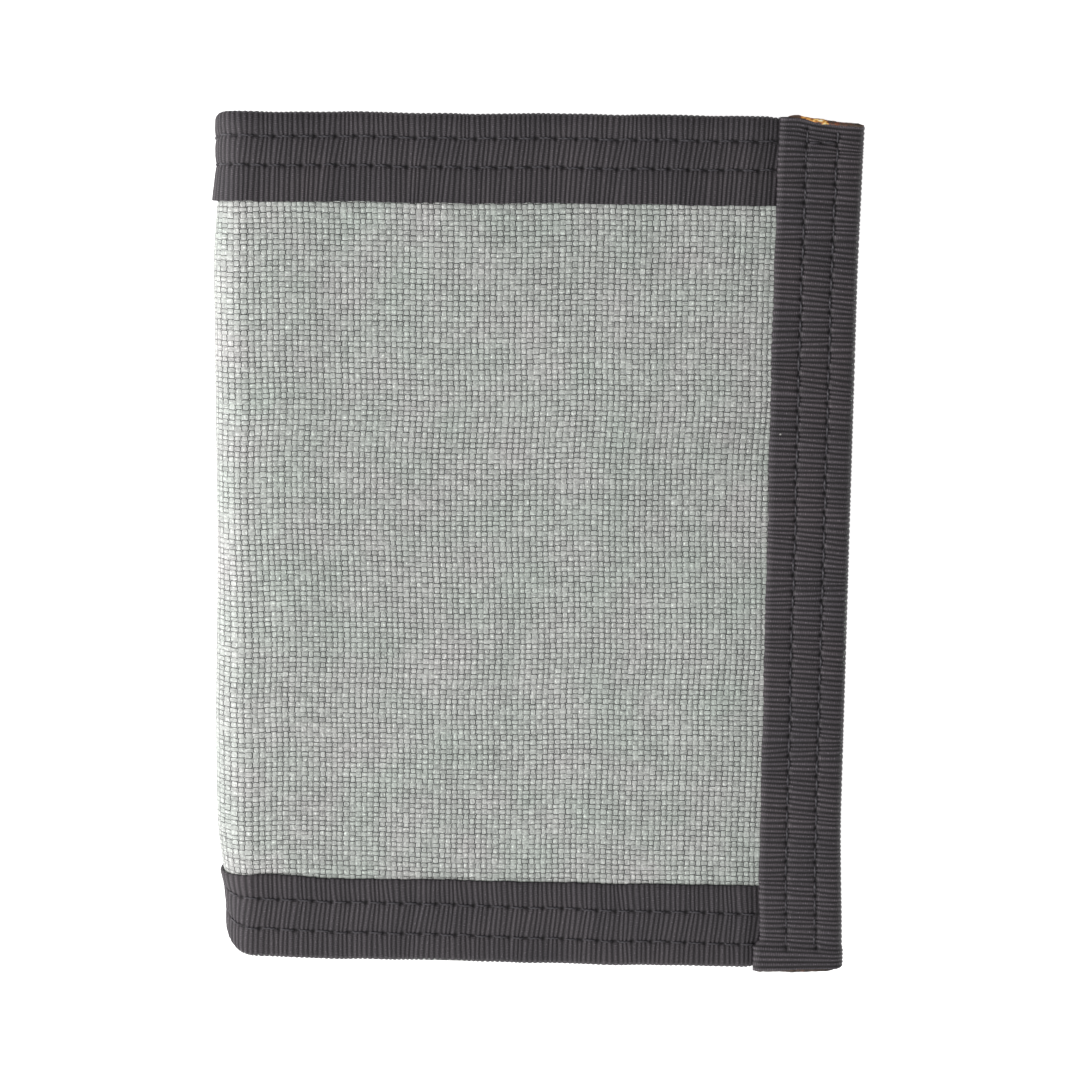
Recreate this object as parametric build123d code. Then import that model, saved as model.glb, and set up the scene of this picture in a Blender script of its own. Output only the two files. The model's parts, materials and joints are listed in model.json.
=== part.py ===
from build123d import *
import math
import os

# A bifold wallet in coated nylon, closed and lying on its back leaf.
# X runs from the fold to the open edge, Y from the closed bottom to the bill mouth,
# Z up through the two leaves. The origin is the middle of the face it lies on.
#
# The shell, the bill divider and the three long binding tapes are each one strip of cloth
# that runs over the back leaf, round the fold and over the front leaf. Each is cut here at
# the two creases into back, spine and front nodes, because each stretch is a rigid body.
#
# Depth is measured inwards from the outside of the wallet, so one layer list serves all
# three stretches: it is +Z on the back leaf, +X on the spine and -Z on the front leaf.

# ---- driving dimensions, in millimetres ----
closed_width = 88.9
height = 120.65

shell_thick = 0.6
lining_thick = 0.35
pocket_thick = 0.35
pane_thick = 0.3
tape_thick = 0.5
ribbon_thick = 0.35

bill_gap = 0.8
card_gap = 0.9
leaf_gap = 0.5
crease_radius = 4.0
crease_relief = 0.2

top_tape_face = 12.4
bottom_tape_face = 11.8
side_tape_face = 11.8
divider_tape_face = 7.5
divider_drop = 1.1

side_hem = 5.0
bottom_hem = 4.0
pocket_margin = 1.0
fold_margin = 10.1
id_mouth_drop = 0.85
upper_mouth_drop = 12.85
pocket_step = 14.0
mouth_ribbon_face = 9.0
id_border_face = 8.0
pane_underlap = 6.0

thread_width = 0.5
thread_thick = 0.25
thread_sink = 0.05
fine_thread_thick = 0.2
top_seam_rows = (3.4, 7.3)
bottom_seam_rows = (3.5, 8.0)
side_seam_rows = (3.9, 8.3)
divider_seam_row = 5.6
ribbon_seam_inset = 1.6
hem_seam_inset = 2.2
past = 1.0  # how far a cut runs on past a face that it opens

# ---- layers, as depths from the outside ----
shell_depth = (tape_thick, tape_thick + shell_thick)
divider_depth = (shell_depth[1] + bill_gap, shell_depth[1] + bill_gap + lining_thick)
leaf_depth = divider_depth[1] + tape_thick
card_layer = card_gap + pocket_thick
pocket_names = ("upper", "middle", "lower")
back_stack = divider_depth[1] + len(pocket_names) * card_layer + ribbon_thick
front_stack = divider_depth[1] + card_gap + pane_thick + ribbon_thick
closed_thick = back_stack + leaf_gap + front_stack

# ---- places that follow ----
left = -closed_width / 2
right = closed_width / 2
bottom = -height / 2
top = height / 2
side_tape_edge = right - side_tape_face
divider_edge = top - top_tape_face - divider_drop
divider_tape_low = divider_edge - divider_tape_face
pocket_left = left + fold_margin
pocket_right = side_tape_edge - pocket_margin
pocket_bottom = bottom + bottom_tape_face + pocket_margin

# A crease turns about the point that keeps the shell's length: for a bend of radius r whose
# ends stay tangent, that point lies (1 - pi/4) r inside the sharp corner.
crease_inset = (1 - math.pi / 4) * crease_radius
shell_middle = (shell_depth[0] + shell_depth[1]) / 2
crease_depth = shell_middle + crease_inset
crease_x = left + crease_depth
back_crease_z = crease_depth
front_crease_z = closed_thick - crease_depth


def clear_of_crease(depth):
    """How far from its crease a layer starts, so that the next stretch's layer can turn past it."""
    return max(depth - crease_depth, 0) + crease_relief


def block(x, y, z):
    """A box from three (low, high) pairs."""
    size = [high - low for low, high in (x, y, z)]
    middle = [(low + high) / 2 for low, high in (x, y, z)]
    return Pos(*middle) * Box(*size)


def layer(stretch, along, y, depth):
    """A flat block on one stretch. along is X on a leaf and Z on the spine."""
    if stretch == "spine":
        return block((left + depth[0], left + depth[1]), y, along)
    if stretch == "front":
        return block(along, y, (closed_thick - depth[1], closed_thick - depth[0]))
    return block(along, y, depth)


def stretch_run(stretch, depth, end):
    """Where a layer of that inmost depth runs on a stretch, up to end on the leaves."""
    start = clear_of_crease(depth)
    if stretch == "spine":
        return (back_crease_z + start, front_crease_z - start)
    return (crease_x + start, end)


def strip(centre):
    """The width of a row of thread about its centre line."""
    return (centre - thread_width / 2, centre + thread_width / 2)


def save(shape, node):
    """Writes one node. shape is a solid, or a list of separate solids."""
    if isinstance(shape, list):
        shape = Compound(children=shape)
    export_step(shape, f"parts/{node}.step")


def make_shell():
    for stretch in ("back", "spine", "front"):
        run = stretch_run(stretch, shell_depth[1], right - tape_thick)
        save(layer(stretch, run, (bottom + tape_thick, top - tape_thick), shell_depth), f"shell_{stretch}")


def make_divider():
    for stretch in ("back", "spine", "front"):
        run = stretch_run(stretch, divider_depth[1], right - tape_thick)
        cloth = (bottom + tape_thick, divider_edge - ribbon_thick)
        save(layer(stretch, run, cloth, divider_depth), f"divider_{stretch}")


# The top tape binds the shell alone, so the bill mouth stays open. The bottom tape binds shell
# and divider together. The divider has a thinner tape of its own over its upper edge.
# edge is the outside of the fold and inward the Y sign from it; core is what the tape is folded over.
long_tapes = {
    "top": {
        "edge": top, "inward": -1, "face": top_tape_face, "thick": tape_thick,
        "core": shell_depth, "rows": top_seam_rows, "thread": thread_thick,
    },
    "bottom": {
        "edge": bottom, "inward": 1, "face": bottom_tape_face, "thick": tape_thick,
        "core": (shell_depth[0], divider_depth[1]), "rows": bottom_seam_rows, "thread": thread_thick,
    },
    "divider": {
        "edge": divider_edge, "inward": -1, "face": divider_tape_face, "thick": ribbon_thick,
        "core": divider_depth, "rows": (divider_seam_row,), "thread": fine_thread_thick,
    },
}


def make_long_tapes():
    """Each tape is a channel over an edge, with its thread lying in grooves on both legs."""
    for name, tape in long_tapes.items():
        edge, inward, core = tape["edge"], tape["inward"], tape["core"]
        outer, inner = core[0] - tape["thick"], core[1] + tape["thick"]
        groove = tape["thread"] + thread_sink
        folded = sorted((edge, edge + inward * tape["face"]))
        opening = sorted((edge + inward * tape["thick"], edge + inward * (tape["face"] + past)))
        for stretch in ("back", "spine", "front"):
            run = stretch_run(stretch, inner, side_tape_edge)
            channel = layer(stretch, run, folded, (outer, inner)) - layer(stretch, run, opening, core)
            threads = []
            for row in tape["rows"]:
                y = strip(edge + inward * row)
                channel = channel - layer(stretch, run, y, (outer, outer + groove))
                channel = channel - layer(stretch, run, y, (inner - groove, inner))
                threads.append(layer(stretch, run, y, (outer + thread_sink, outer + groove)))
                threads.append(layer(stretch, run, y, (inner - groove, inner - thread_sink)))
            save(channel, f"{name}_tape_{stretch}")
            save(threads, f"{name}_seam_{stretch}")


def make_side_tapes():
    """One tape down each open edge, binding shell and divider. The long tapes butt against it."""
    core = (shell_depth[0], divider_depth[1])
    groove = thread_thick + thread_sink
    for stretch in ("back", "front"):
        channel = layer(stretch, (side_tape_edge, right), (bottom, top), (0, leaf_depth))
        opening = (side_tape_edge - past, right - tape_thick)
        channel = channel - layer(stretch, opening, (bottom - past, top + past), core)
        threads = []
        for row in side_seam_rows:
            x = strip(right - row)
            channel = channel - layer(stretch, x, (bottom, top), (0, groove))
            channel = channel - layer(stretch, x, (bottom, top), (leaf_depth - groove, leaf_depth))
            threads.append(layer(stretch, x, (bottom, top), (thread_sink, groove)))
            threads.append(layer(stretch, x, (bottom, top), (leaf_depth - groove, leaf_depth - thread_sink)))
        save(channel, f"side_tape_{stretch}")
        save(threads, f"side_seam_{stretch}")


def hem_strips(stretch, floor, mouth):
    """The turned edges down both sides and along the bottom, which hold the card space open."""
    depth = (floor, floor + card_gap)
    return [
        layer(stretch, (pocket_left, pocket_left + side_hem), (pocket_bottom, mouth), depth),
        layer(stretch, (pocket_right - side_hem, pocket_right), (pocket_bottom, mouth), depth),
        layer(stretch, (pocket_left + side_hem, pocket_right - side_hem),
              (pocket_bottom, pocket_bottom + bottom_hem), depth),
    ]


def mouth_ribbon(stretch, mouth, floor):
    """A ribbon sewn flat along a pocket's mouth, and its row of thread in a groove."""
    run = (pocket_left, pocket_right)
    surface = floor + ribbon_thick
    ribbon = layer(stretch, run, (mouth - mouth_ribbon_face, mouth), (floor, surface))
    row = strip(mouth - mouth_ribbon_face + ribbon_seam_inset)
    thread = layer(stretch, run, row, (surface - fine_thread_thick, surface))
    return ribbon - thread, thread


def make_card_pockets():
    """Three pockets one on another, each mouth a step lower than the one behind it."""
    for index, name in enumerate(pocket_names):
        floor = divider_depth[1] + index * card_layer
        surface = floor + card_layer
        mouth = divider_tape_low - upper_mouth_drop - index * pocket_step
        run = (pocket_left, pocket_right)
        save(layer("back", run, (pocket_bottom, mouth), (floor + card_gap, surface)), f"card_pocket_{name}")
        save(hem_strips("back", floor, mouth), f"card_pocket_{name}_hems")
        ribbon, ribbon_thread = mouth_ribbon("back", mouth, surface)
        save(ribbon, f"card_pocket_{name}_ribbon")
        # The side seams run on the part of the pocket that the next one leaves bare. The last
        # pocket is bare to its foot, and its seam turns along it.
        foot_row = strip(pocket_bottom + hem_seam_inset)
        bare_to_foot = index == len(pocket_names) - 1
        low = foot_row[1] if bare_to_foot else mouth - pocket_step
        side_rows = [strip(pocket_left + hem_seam_inset), strip(pocket_right - hem_seam_inset)]
        depth = (surface, surface + fine_thread_thick)
        threads = [layer("back", x, (low, mouth - mouth_ribbon_face), depth) for x in side_rows]
        if bare_to_foot:
            threads.append(layer("back", (side_rows[0][0], side_rows[1][1]), foot_row, depth))
        save(threads + [ribbon_thread], f"card_pocket_{name}_seam")


def make_id_pocket():
    """A clear pane held by ribbons down both sides and along the bottom, with its mouth at the top."""
    floor = divider_depth[1]
    mouth = divider_tape_low - id_mouth_drop
    save(hem_strips("front", floor, mouth), "id_pocket_hems")
    pane_floor = floor + card_gap
    border_floor = pane_floor + pane_thick
    surface = border_floor + ribbon_thick
    inset = id_border_face - pane_underlap
    pane_x = (pocket_left + inset, pocket_right - inset)
    save(layer("front", pane_x, (pocket_bottom + inset, mouth), (pane_floor, border_floor)), "id_window_pane")
    inner_left, inner_right = pocket_left + id_border_face, pocket_right - id_border_face
    side_run = (pocket_bottom, mouth - mouth_ribbon_face)
    # Each border ribbon with the place of its row of thread.
    borders = [
        ((pocket_left, inner_left), side_run, strip(pocket_left + hem_seam_inset), side_run),
        ((inner_right, pocket_right), side_run, strip(pocket_right - hem_seam_inset), side_run),
        ((inner_left, inner_right), (pocket_bottom, pocket_bottom + id_border_face),
         (inner_left, inner_right), strip(pocket_bottom + hem_seam_inset)),
    ]
    ribbons = []
    threads = []
    for ribbon_x, ribbon_y, thread_x, thread_y in borders:
        thread = layer("front", thread_x, thread_y, (surface - fine_thread_thick, surface))
        ribbons.append(layer("front", ribbon_x, ribbon_y, (border_floor, surface)) - thread)
        threads.append(thread)
    top_ribbon, ribbon_thread = mouth_ribbon("front", mouth, border_floor)
    save(ribbons, "id_window_borders")
    save(top_ribbon, "id_mouth_ribbon")
    save(threads + [ribbon_thread], "id_pocket_seam")


def main():
    os.makedirs("parts", exist_ok=True)
    make_shell()
    make_divider()
    make_long_tapes()
    make_side_tapes()
    make_card_pockets()
    make_id_pocket()
    print("closed size", closed_width, height, round(closed_thick, 3))
    print("creases at x", round(crease_x, 4), "z", round(back_crease_z, 4), round(front_crease_z, 4))
    print("open width", round(2 * (right - crease_x) + front_crease_z - back_crease_z, 2))
    print("room for a card", round(pocket_right - pocket_left - 2 * side_hem, 2))


main()
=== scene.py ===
import json
import math

import bpy
import numpy as np
from mathutils import Matrix, Vector


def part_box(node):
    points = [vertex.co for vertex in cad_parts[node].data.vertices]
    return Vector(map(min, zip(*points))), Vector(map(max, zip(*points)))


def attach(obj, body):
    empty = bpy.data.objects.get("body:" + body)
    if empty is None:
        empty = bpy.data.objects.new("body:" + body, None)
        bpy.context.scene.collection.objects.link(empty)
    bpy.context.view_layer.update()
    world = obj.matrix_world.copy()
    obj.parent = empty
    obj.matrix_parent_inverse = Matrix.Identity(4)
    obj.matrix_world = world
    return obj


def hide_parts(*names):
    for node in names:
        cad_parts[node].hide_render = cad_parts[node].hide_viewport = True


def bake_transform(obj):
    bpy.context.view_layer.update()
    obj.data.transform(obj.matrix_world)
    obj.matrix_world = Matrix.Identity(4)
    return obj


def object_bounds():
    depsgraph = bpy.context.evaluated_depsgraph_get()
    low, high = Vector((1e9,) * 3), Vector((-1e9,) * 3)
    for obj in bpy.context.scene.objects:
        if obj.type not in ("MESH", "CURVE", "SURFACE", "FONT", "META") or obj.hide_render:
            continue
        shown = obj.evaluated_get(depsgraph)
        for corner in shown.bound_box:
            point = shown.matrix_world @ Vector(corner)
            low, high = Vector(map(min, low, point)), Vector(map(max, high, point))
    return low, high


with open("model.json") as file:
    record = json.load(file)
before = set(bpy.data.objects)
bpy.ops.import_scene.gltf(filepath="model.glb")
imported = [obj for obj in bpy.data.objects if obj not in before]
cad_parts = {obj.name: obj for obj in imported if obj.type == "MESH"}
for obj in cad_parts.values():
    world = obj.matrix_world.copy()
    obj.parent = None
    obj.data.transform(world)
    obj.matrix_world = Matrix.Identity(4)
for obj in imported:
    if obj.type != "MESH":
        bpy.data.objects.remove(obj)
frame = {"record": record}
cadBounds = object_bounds()
mm = 0.001


def span(node, axis):
    # Lowest and highest place of a frame node along one axis.
    low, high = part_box(node)
    return low[axis], high[axis]


hinges = {joint["name"]: joint for joint in frame["record"]["behaviour"]["joints"]}
closedThick = cadBounds[1][2]
foldX, openX = cadBounds[0][0], cadBounds[1][0]
footY, headY = cadBounds[0][1], cadBounds[1][1]
shellDepth = span("shell_back", 2)
dividerDepth = span("divider_back", 2)
tapeThick = shellDepth[0]
ribbonThick = dividerDepth[0] - span("divider_tape_back", 2)[0]
sideEdge = span("side_tape_back", 0)[0]
dividerTop = span("divider_tape_back", 1)[1]

# The strips turn round the fold on a quarter circle at each crease. The frame puts each hinge
# (1 - pi/4) of the bend's radius inside the corner, so the radius follows from the hinge's place.
shellMiddle = sum(shellDepth) / 2
bendRadius = (hinges["fold_back"]["pos_m"][2] - shellMiddle) / (1 - math.pi / 4)
spineHalf = closedThick / 2 - shellMiddle - bendRadius
leafStart = spineHalf + bendRadius * math.pi / 2
bendX = foldX + shellMiddle + bendRadius

bodyOf = {1: "front_leaf", -1: "back_leaf"}
leafNames = {1: "front", -1: "back"}


def runAt(x):
    # Length along the shell from the middle of the spine to a place on the flat leaf.
    return leafStart + x - bendX


def ramp(value, low, high):
    # 0 below low, 1 above high, and 3t^2 - 2t^3 between them.
    t = np.clip((value - low) / (high - low), 0, 1)
    return t * t * (3 - 2 * t)


def bell(value, reach):
    # e to the power of minus the square of value over reach.
    return np.exp(-((value / reach) ** 2))


def wander(value, seed, wavelength, size):
    # Five sine waves of random phase, from the wavelength down to a fifth of it, scaled to size.
    rng = np.random.default_rng(seed)
    waves = wavelength / np.array([1.0, 1.6, 2.3, 3.4, 5.0])
    phases = rng.uniform(0, 2 * math.pi, 5)
    weights = np.array([1.0, 0.8, 0.6, 0.4, 0.3])
    value = np.asarray(value, float)[..., None]
    return size * (np.sin(2 * math.pi * value / waves + phases) * weights).sum(-1) / weights.sum() * 1.6


# The soft shape that every layer of a leaf shares.
softShape = {
    "footRound": 2.9 * mm, "footReach": 3.2 * mm, "footBand": 17 * mm,  # corner at the foot of the fold
    "headRound": 0.9 * mm, "headReach": 1.9 * mm, "headBand": 9 * mm,  # corner at its head
    "headFlare": 0.55 * mm, "flareBand": 24 * mm,  # the open edge leans out towards its head
    "footFlare": 0.3 * mm,
    "footSkew": 1.4 * mm, "skewBand": 50 * mm,  # the foot runs down a little from the fold to the open edge
    "openDroop": 1.4 * mm, "droopFrom": 22 * mm,  # the front leaf sags past the pockets it lies on
    "headDroop": 0.5 * mm, "headDroopBand": 16 * mm,
    "belly": 0.58 * mm, "bellyReach": 7 * mm,  # the cloth stands out round the fold between the tapes
    "swell": 0.32 * mm, "swellReach": 17 * mm,  # and the leaf swells a little beside it
    "footHeld": (4 * mm, 22 * mm), "headHeld": (22 * mm, 7 * mm),  # the tapes hold it back this near the ends
    "footFuller": 0.7, "fullerFrom": (-30 * mm, 5 * mm),  # it stands out more in the lower half
    "underClear": 0.08 * mm, "pressed": 0.06 * mm,  # the back leaf is pressed flat where it meets the table
    "wave": 0.16 * mm, "waveLength": 46 * mm, "waveFrom": 14 * mm,  # slow ripples on the flat of the leaf
}


def soften(leaf, run, y, depth):
    # Moves a place on the flat pattern: the fold's corners are pulled in along Y by a bell curve of
    # the run, the open edge leans out, and the leaf sags and ripples a little in depth.
    s = softShape
    foot = s["footRound"] * bell(run, s["footReach"]) * (1 - ramp(y, footY, footY + s["footBand"]))
    head = s["headRound"] * bell(run, s["headReach"]) * ramp(y, headY - s["headBand"], headY)
    openness = ramp(run, leafStart, runAt(openX))
    slope = s["footSkew"] * (0.5 - run / runAt(openX)) * (1 - ramp(y, footY, footY + s["skewBand"]))
    lean = s["headFlare"] * ramp(y, headY - s["flareBand"], headY + s["flareBand"] / 3) * openness
    lean = lean + s["footFlare"] * (1 - ramp(y, footY, footY + s["flareBand"])) * openness
    flatness = ramp(run, leafStart, leafStart + s["waveFrom"])
    ripple = wander(0.8 * run + 0.6 * y, 11 + leaf, s["waveLength"], 0.5)
    ripple = ripple * wander(0.7 * y - run, 21 + leaf, 1.3 * s["waveLength"], 1.0)
    depth = depth + s["wave"] * flatness * (0.5 + ripple)
    between = ramp(y, footY + s["footHeld"][0], footY + s["footHeld"][1])
    between = between * (1 - ramp(y, headY - s["headHeld"][0], headY - s["headHeld"][1]))
    between = between * (1 + s["footFuller"] * (1 - ramp(y, *s["fullerFrom"])))
    depth = depth - s["belly"] * bell(run, s["bellyReach"]) * between
    depth = depth - s["swell"] * bell(run, s["swellReach"]) * between
    if leaf < 0:
        depth = depth + s["underClear"] * ramp(run, spineHalf, leafStart)
    else:
        sag = np.clip((run - runAt(s["droopFrom"])) / (openX - s["droopFrom"]), 0, 1.1)
        depth = depth + s["openDroop"] * sag ** 2
        depth = depth + s["headDroop"] * ramp(y, headY - s["headDroopBand"], headY) * flatness
    return run + lean, y + foot - head + slope, depth


def layOn(leaf, run, y, depth):
    # Wraps the pattern onto the closed wallet. The run goes up the spine, round a quarter circle
    # and then flat along the leaf, and depth is taken off the circle's radius. leaf is 1 for the
    # front and -1 for the back.
    run, y, depth = soften(leaf, run, y, depth)
    turn = np.clip((run - spineHalf) / bendRadius, 0, math.pi / 2)
    radius = bendRadius + shellMiddle - depth
    x = bendX - radius * np.cos(turn) + np.maximum(run - leafStart, 0)
    z = closedThick / 2 + leaf * (np.minimum(run, spineHalf) + radius * np.sin(turn))
    if leaf < 0:  # half of z + sqrt(z^2 + pressed^2) never goes under the table
        z = (z + np.sqrt(z ** 2 + softShape["pressed"] ** 2)) / 2
    return np.stack(np.broadcast_arrays(x, y, z), axis=-1)


def patternedPiece(name, corners, faces, pattern):
    # A smooth-shaded object from corners and faces. pattern is each corner's (u, v).
    mesh = bpy.data.meshes.new(name)
    mesh.from_pydata(corners.tolist(), [], faces)
    cornerOfLoop = np.empty(len(mesh.loops), np.int32)
    mesh.loops.foreach_get("vertex_index", cornerOfLoop)
    layer = mesh.uv_layers.new(name="pattern")
    layer.data.foreach_set("uv", pattern.reshape(-1, 2)[cornerOfLoop].astype(np.float32).ravel())
    mesh.shade_smooth()
    piece = bpy.data.objects.new(name, mesh)
    bpy.context.scene.collection.objects.link(piece)
    return piece


def closedBand(name, points, pattern, shade=None):
    # A closed skin on a grid of points: rows run along the strip, columns go once round its
    # section, and the first and last rows are capped, with sharp rims.
    rows, columns = points.shape[:2]
    index = np.arange(rows * columns).reshape(rows, columns)
    after = np.roll(index, -1, axis=1)
    quads = np.stack([index[:-1], index[1:], after[1:], after[:-1]], axis=-1).reshape(-1, 4)
    corners = points.reshape(-1, 3)
    # Six times the volume that the skin closes: where it is negative the faces look inwards.
    a, b, c, d = (corners[quads[:, k]] - corners.mean(0) for k in range(4))
    volume = (np.einsum("ij,ij->i", a, np.cross(b, c)) + np.einsum("ij,ij->i", a, np.cross(c, d))).sum()
    caps = [index[0], index[-1][::-1]]
    if volume < 0:
        quads = quads[:, ::-1]
        caps = [cap[::-1] for cap in caps]
    piece = patternedPiece(name, corners, quads.tolist() + [cap.tolist() for cap in caps], pattern)
    mesh = piece.data
    if shade is not None:
        attribute = mesh.attributes.new("shade", "FLOAT", "POINT")
        attribute.data.foreach_set("value", shade.reshape(-1).astype(np.float32))
    ends = np.empty(len(mesh.edges) * 2, np.int32)
    mesh.edges.foreach_get("vertices", ends)
    row = ends.reshape(-1, 2) // columns
    sharp = mesh.attributes.new("sharp_edge", "BOOLEAN", "EDGE")
    sharp.data.foreach_set("value", ((row == 0) | (row == rows - 1)).all(1))
    mesh.update()
    return piece


def joinPieces(name, parts):
    # One object from several closed skins.
    bpy.ops.object.select_all(action="DESELECT")
    for part in parts:
        part.select_set(True)
    bpy.context.view_layer.objects.active = parts[0]
    bpy.ops.object.join()
    parts[0].name = name
    parts[0].data.name = name
    return parts[0]


def srgb(hexColour):
    # An sRGB hex value as a linear colour.
    channels = [int(hexColour[k:k + 2], 16) / 255 for k in (1, 3, 5)]
    return [c / 12.92 if c <= 0.04045 else ((c + 0.055) / 1.055) ** 2.4 for c in channels] + [1.0]


def plug(tree, node, values):
    # Links or sets a node's inputs, given by name or in order.
    for key, value in values.items() if isinstance(values, dict) else enumerate(values):
        if isinstance(value, bpy.types.NodeSocket):
            tree.links.new(value, node.inputs[key])
        else:
            node.inputs[key].default_value = value


def add(tree, kind, links=(), out=0, **settings):
    # Adds one shader node with its settings and links, and gives back one of its outputs.
    made = tree.nodes.new("ShaderNode" + kind)
    for name, value in settings.items():
        setattr(made, name, value)
    plug(tree, made, links)
    return made.outputs[out]


def newMaterial(name):
    # A material with its node tree and its shader.
    material = bpy.data.materials.new(name)
    material.use_nodes = True
    return material, material.node_tree, material.node_tree.nodes["Principled BSDF"]


ior = {"nylon": 1.53, "polyester": 1.55}  # typical values for the two fibres


def makeCloth(name, look):
    # Plain-weave nylon of textured filament yarn, dyed and coated on the back. The yarns stand out
    # as small pillows with painted shade in the gaps beside them, each yarn a little lighter or
    # darker than the next, with fine streaks of filaments along it and painted glints on its crown.
    # The pattern is in yarns: one unit is one yarn, whichever way it runs, 0.85 mm across and 0.73 mm
    # up the shell. The lining's 0.4 mm yarns are about as fine as shows.
    material, tree, shader = newMaterial(name)
    pattern = add(tree, "UVMap", uv_map="pattern")
    cell = add(tree, "VectorMath", [pattern], operation="FLOOR")
    within = add(tree, "VectorMath", [pattern], operation="FRACTION")
    centred = add(tree, "VectorMath", [within, (2, 2, 0), (-1, -1, 0)], operation="MULTIPLY_ADD")
    edge = add(tree, "VectorMath", [centred], operation="ABSOLUTE")
    cellX, cellY = add(tree, "SeparateXYZ", [cell]).node.outputs[:2]
    edgeX, edgeY = add(tree, "SeparateXYZ", [edge]).node.outputs[:2]
    cellSum = add(tree, "Math", [cellX, cellY], operation="ADD")
    weftOver = add(tree, "Math", [cellSum, 2.0], operation="FLOORED_MODULO")
    swapped = add(tree, "CombineXYZ", [edgeY, edgeX])
    turned = add(tree, "Mix", {0: weftOver, 4: edge, 5: swapped}, out=1, data_type="VECTOR")
    across, along = add(tree, "SeparateXYZ", [turned]).node.outputs[:2]
    # The yarn's own number: the column where the warp is on top and the row where the weft is.
    columnId = add(tree, "Math", [cellX, 0.31], operation="ADD")
    rowId = add(tree, "Math", [cellY, 500.7], operation="ADD")
    yarnId = add(tree, "Mix", {0: weftOver, 2: columnId, 3: rowId}, data_type="FLOAT")
    yarnTone = add(tree, "TexWhiteNoise", {"W": yarnId}, noise_dimensions="1D")
    cellTone = add(tree, "TexWhiteNoise", [cell], noise_dimensions="2D")
    # Filaments: noise drawn out along the yarn that is on top, about 0.25 mm across it. Real ones
    # are a tenth of that and wouldn't show.
    upright = add(tree, "VectorMath", [pattern, (3.4, 1.5, 1.0)], operation="MULTIPLY")
    level = add(tree, "VectorMath", [pattern, (1.5, 3.4, 1.0)], operation="MULTIPLY")
    streakPlace = add(tree, "Mix", {0: weftOver, 4: upright, 5: level}, out=1, data_type="VECTOR")
    streak = add(tree, "TexNoise", {"Vector": streakPlace, "Scale": 1.0, "Detail": 3.0, "Roughness": 0.8})
    streak = add(tree, "MapRange", [streak, 0.30, 0.70, 0.0, 1.0])
    # The part of the yarn that shows is an oval, half width = 0.96 - 0.26 x along^2, so that the
    # crossings sit like bricks. Its section is sqrt(1 - 0.95 x share^2), a flattened round.
    alongSquare = add(tree, "Math", [along, along], operation="MULTIPLY")
    halfWidth = add(tree, "Math", [alongSquare, -0.26, 0.96], operation="MULTIPLY_ADD")
    share = add(tree, "Math", [across, halfWidth], operation="DIVIDE")
    inner = add(tree, "Math", [share, 1.0], operation="MINIMUM")
    innerSquare = add(tree, "Math", [inner, inner], operation="MULTIPLY")
    roundLeft = add(tree, "Math", [innerSquare, -0.95, 1.0], operation="MULTIPLY_ADD")
    roundness = add(tree, "Math", [roundLeft, 0.5], operation="POWER")
    quarterTurn = add(tree, "Math", [along, math.pi / 2], operation="MULTIPLY")
    crown = add(tree, "Math", [quarterTurn], operation="COSINE")
    height = add(tree, "Math", [crown, 0.5], operation="MULTIPLY")
    height = add(tree, "Math", [roundness, 0.7, height], operation="MULTIPLY_ADD")
    height = add(tree, "Math", [streak, look["filament"], height], operation="MULTIPLY_ADD")
    # Painted shade: a dark line beside the yarn, the shadow where it stands over the one that dives
    # under it. Some of the gaps between rows and between columns are wider than others, from
    # crossing to crossing and slowly along their length.
    beside = add(tree, "Math", [share, 1.0], operation="SUBTRACT")
    beside = add(tree, "Math", [beside], operation="ABSOLUTE")
    line = add(tree, "MapRange", [beside, 0.0, look["gapWidth"], 1.0, 0.0], interpolation_type="SMOOTHSTEP")
    shifted = add(tree, "VectorMath", [pattern, (0.5, 0.5, 0.0)], operation="ADD")
    boundary = add(tree, "VectorMath", [shifted], operation="FLOOR")
    boundaryX, boundaryY = add(tree, "SeparateXYZ", [boundary]).node.outputs[:2]
    rowGap = add(tree, "Math", [boundaryY, 900.3], operation="ADD")
    gapId = add(tree, "Mix", {0: weftOver, 2: boundaryX, 3: rowGap}, data_type="FLOAT")
    slowPlace = add(tree, "VectorMath", [pattern, (0.09, 0.09, 1.0)], operation="MULTIPLY")
    slowX, slowY = add(tree, "SeparateXYZ", [slowPlace]).node.outputs[:2]
    slowWithId = add(tree, "CombineXYZ", [slowX, slowY, gapId])
    gapWave = add(tree, "TexNoise", {"Vector": slowWithId, "Scale": 1.0, "Detail": 1.0})
    gapDraw = add(tree, "MapRange", [gapWave, 0.36, 0.64, 0.0, 1.0])
    upSegment = add(tree, "CombineXYZ", [boundaryX, cellY, 3.0])
    acrossSegment = add(tree, "CombineXYZ", [cellX, boundaryY, 7.0])
    segment = add(tree, "Mix", {0: weftOver, 4: upSegment, 5: acrossSegment}, out=1, data_type="VECTOR")
    segmentDraw = add(tree, "TexWhiteNoise", [segment], noise_dimensions="3D")
    gapSum = add(tree, "Math", [segmentDraw, 0.6], operation="MULTIPLY")
    gapSum = add(tree, "Math", [gapDraw, 0.4, gapSum], operation="MULTIPLY_ADD")
    gapShadeDepth = add(tree, "MapRange", [gapSum, 0.1, 0.9, *look["gap"]])
    gapPaintedShade = add(tree, "Math", [line, gapShadeDepth], operation="MULTIPLY")
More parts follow.
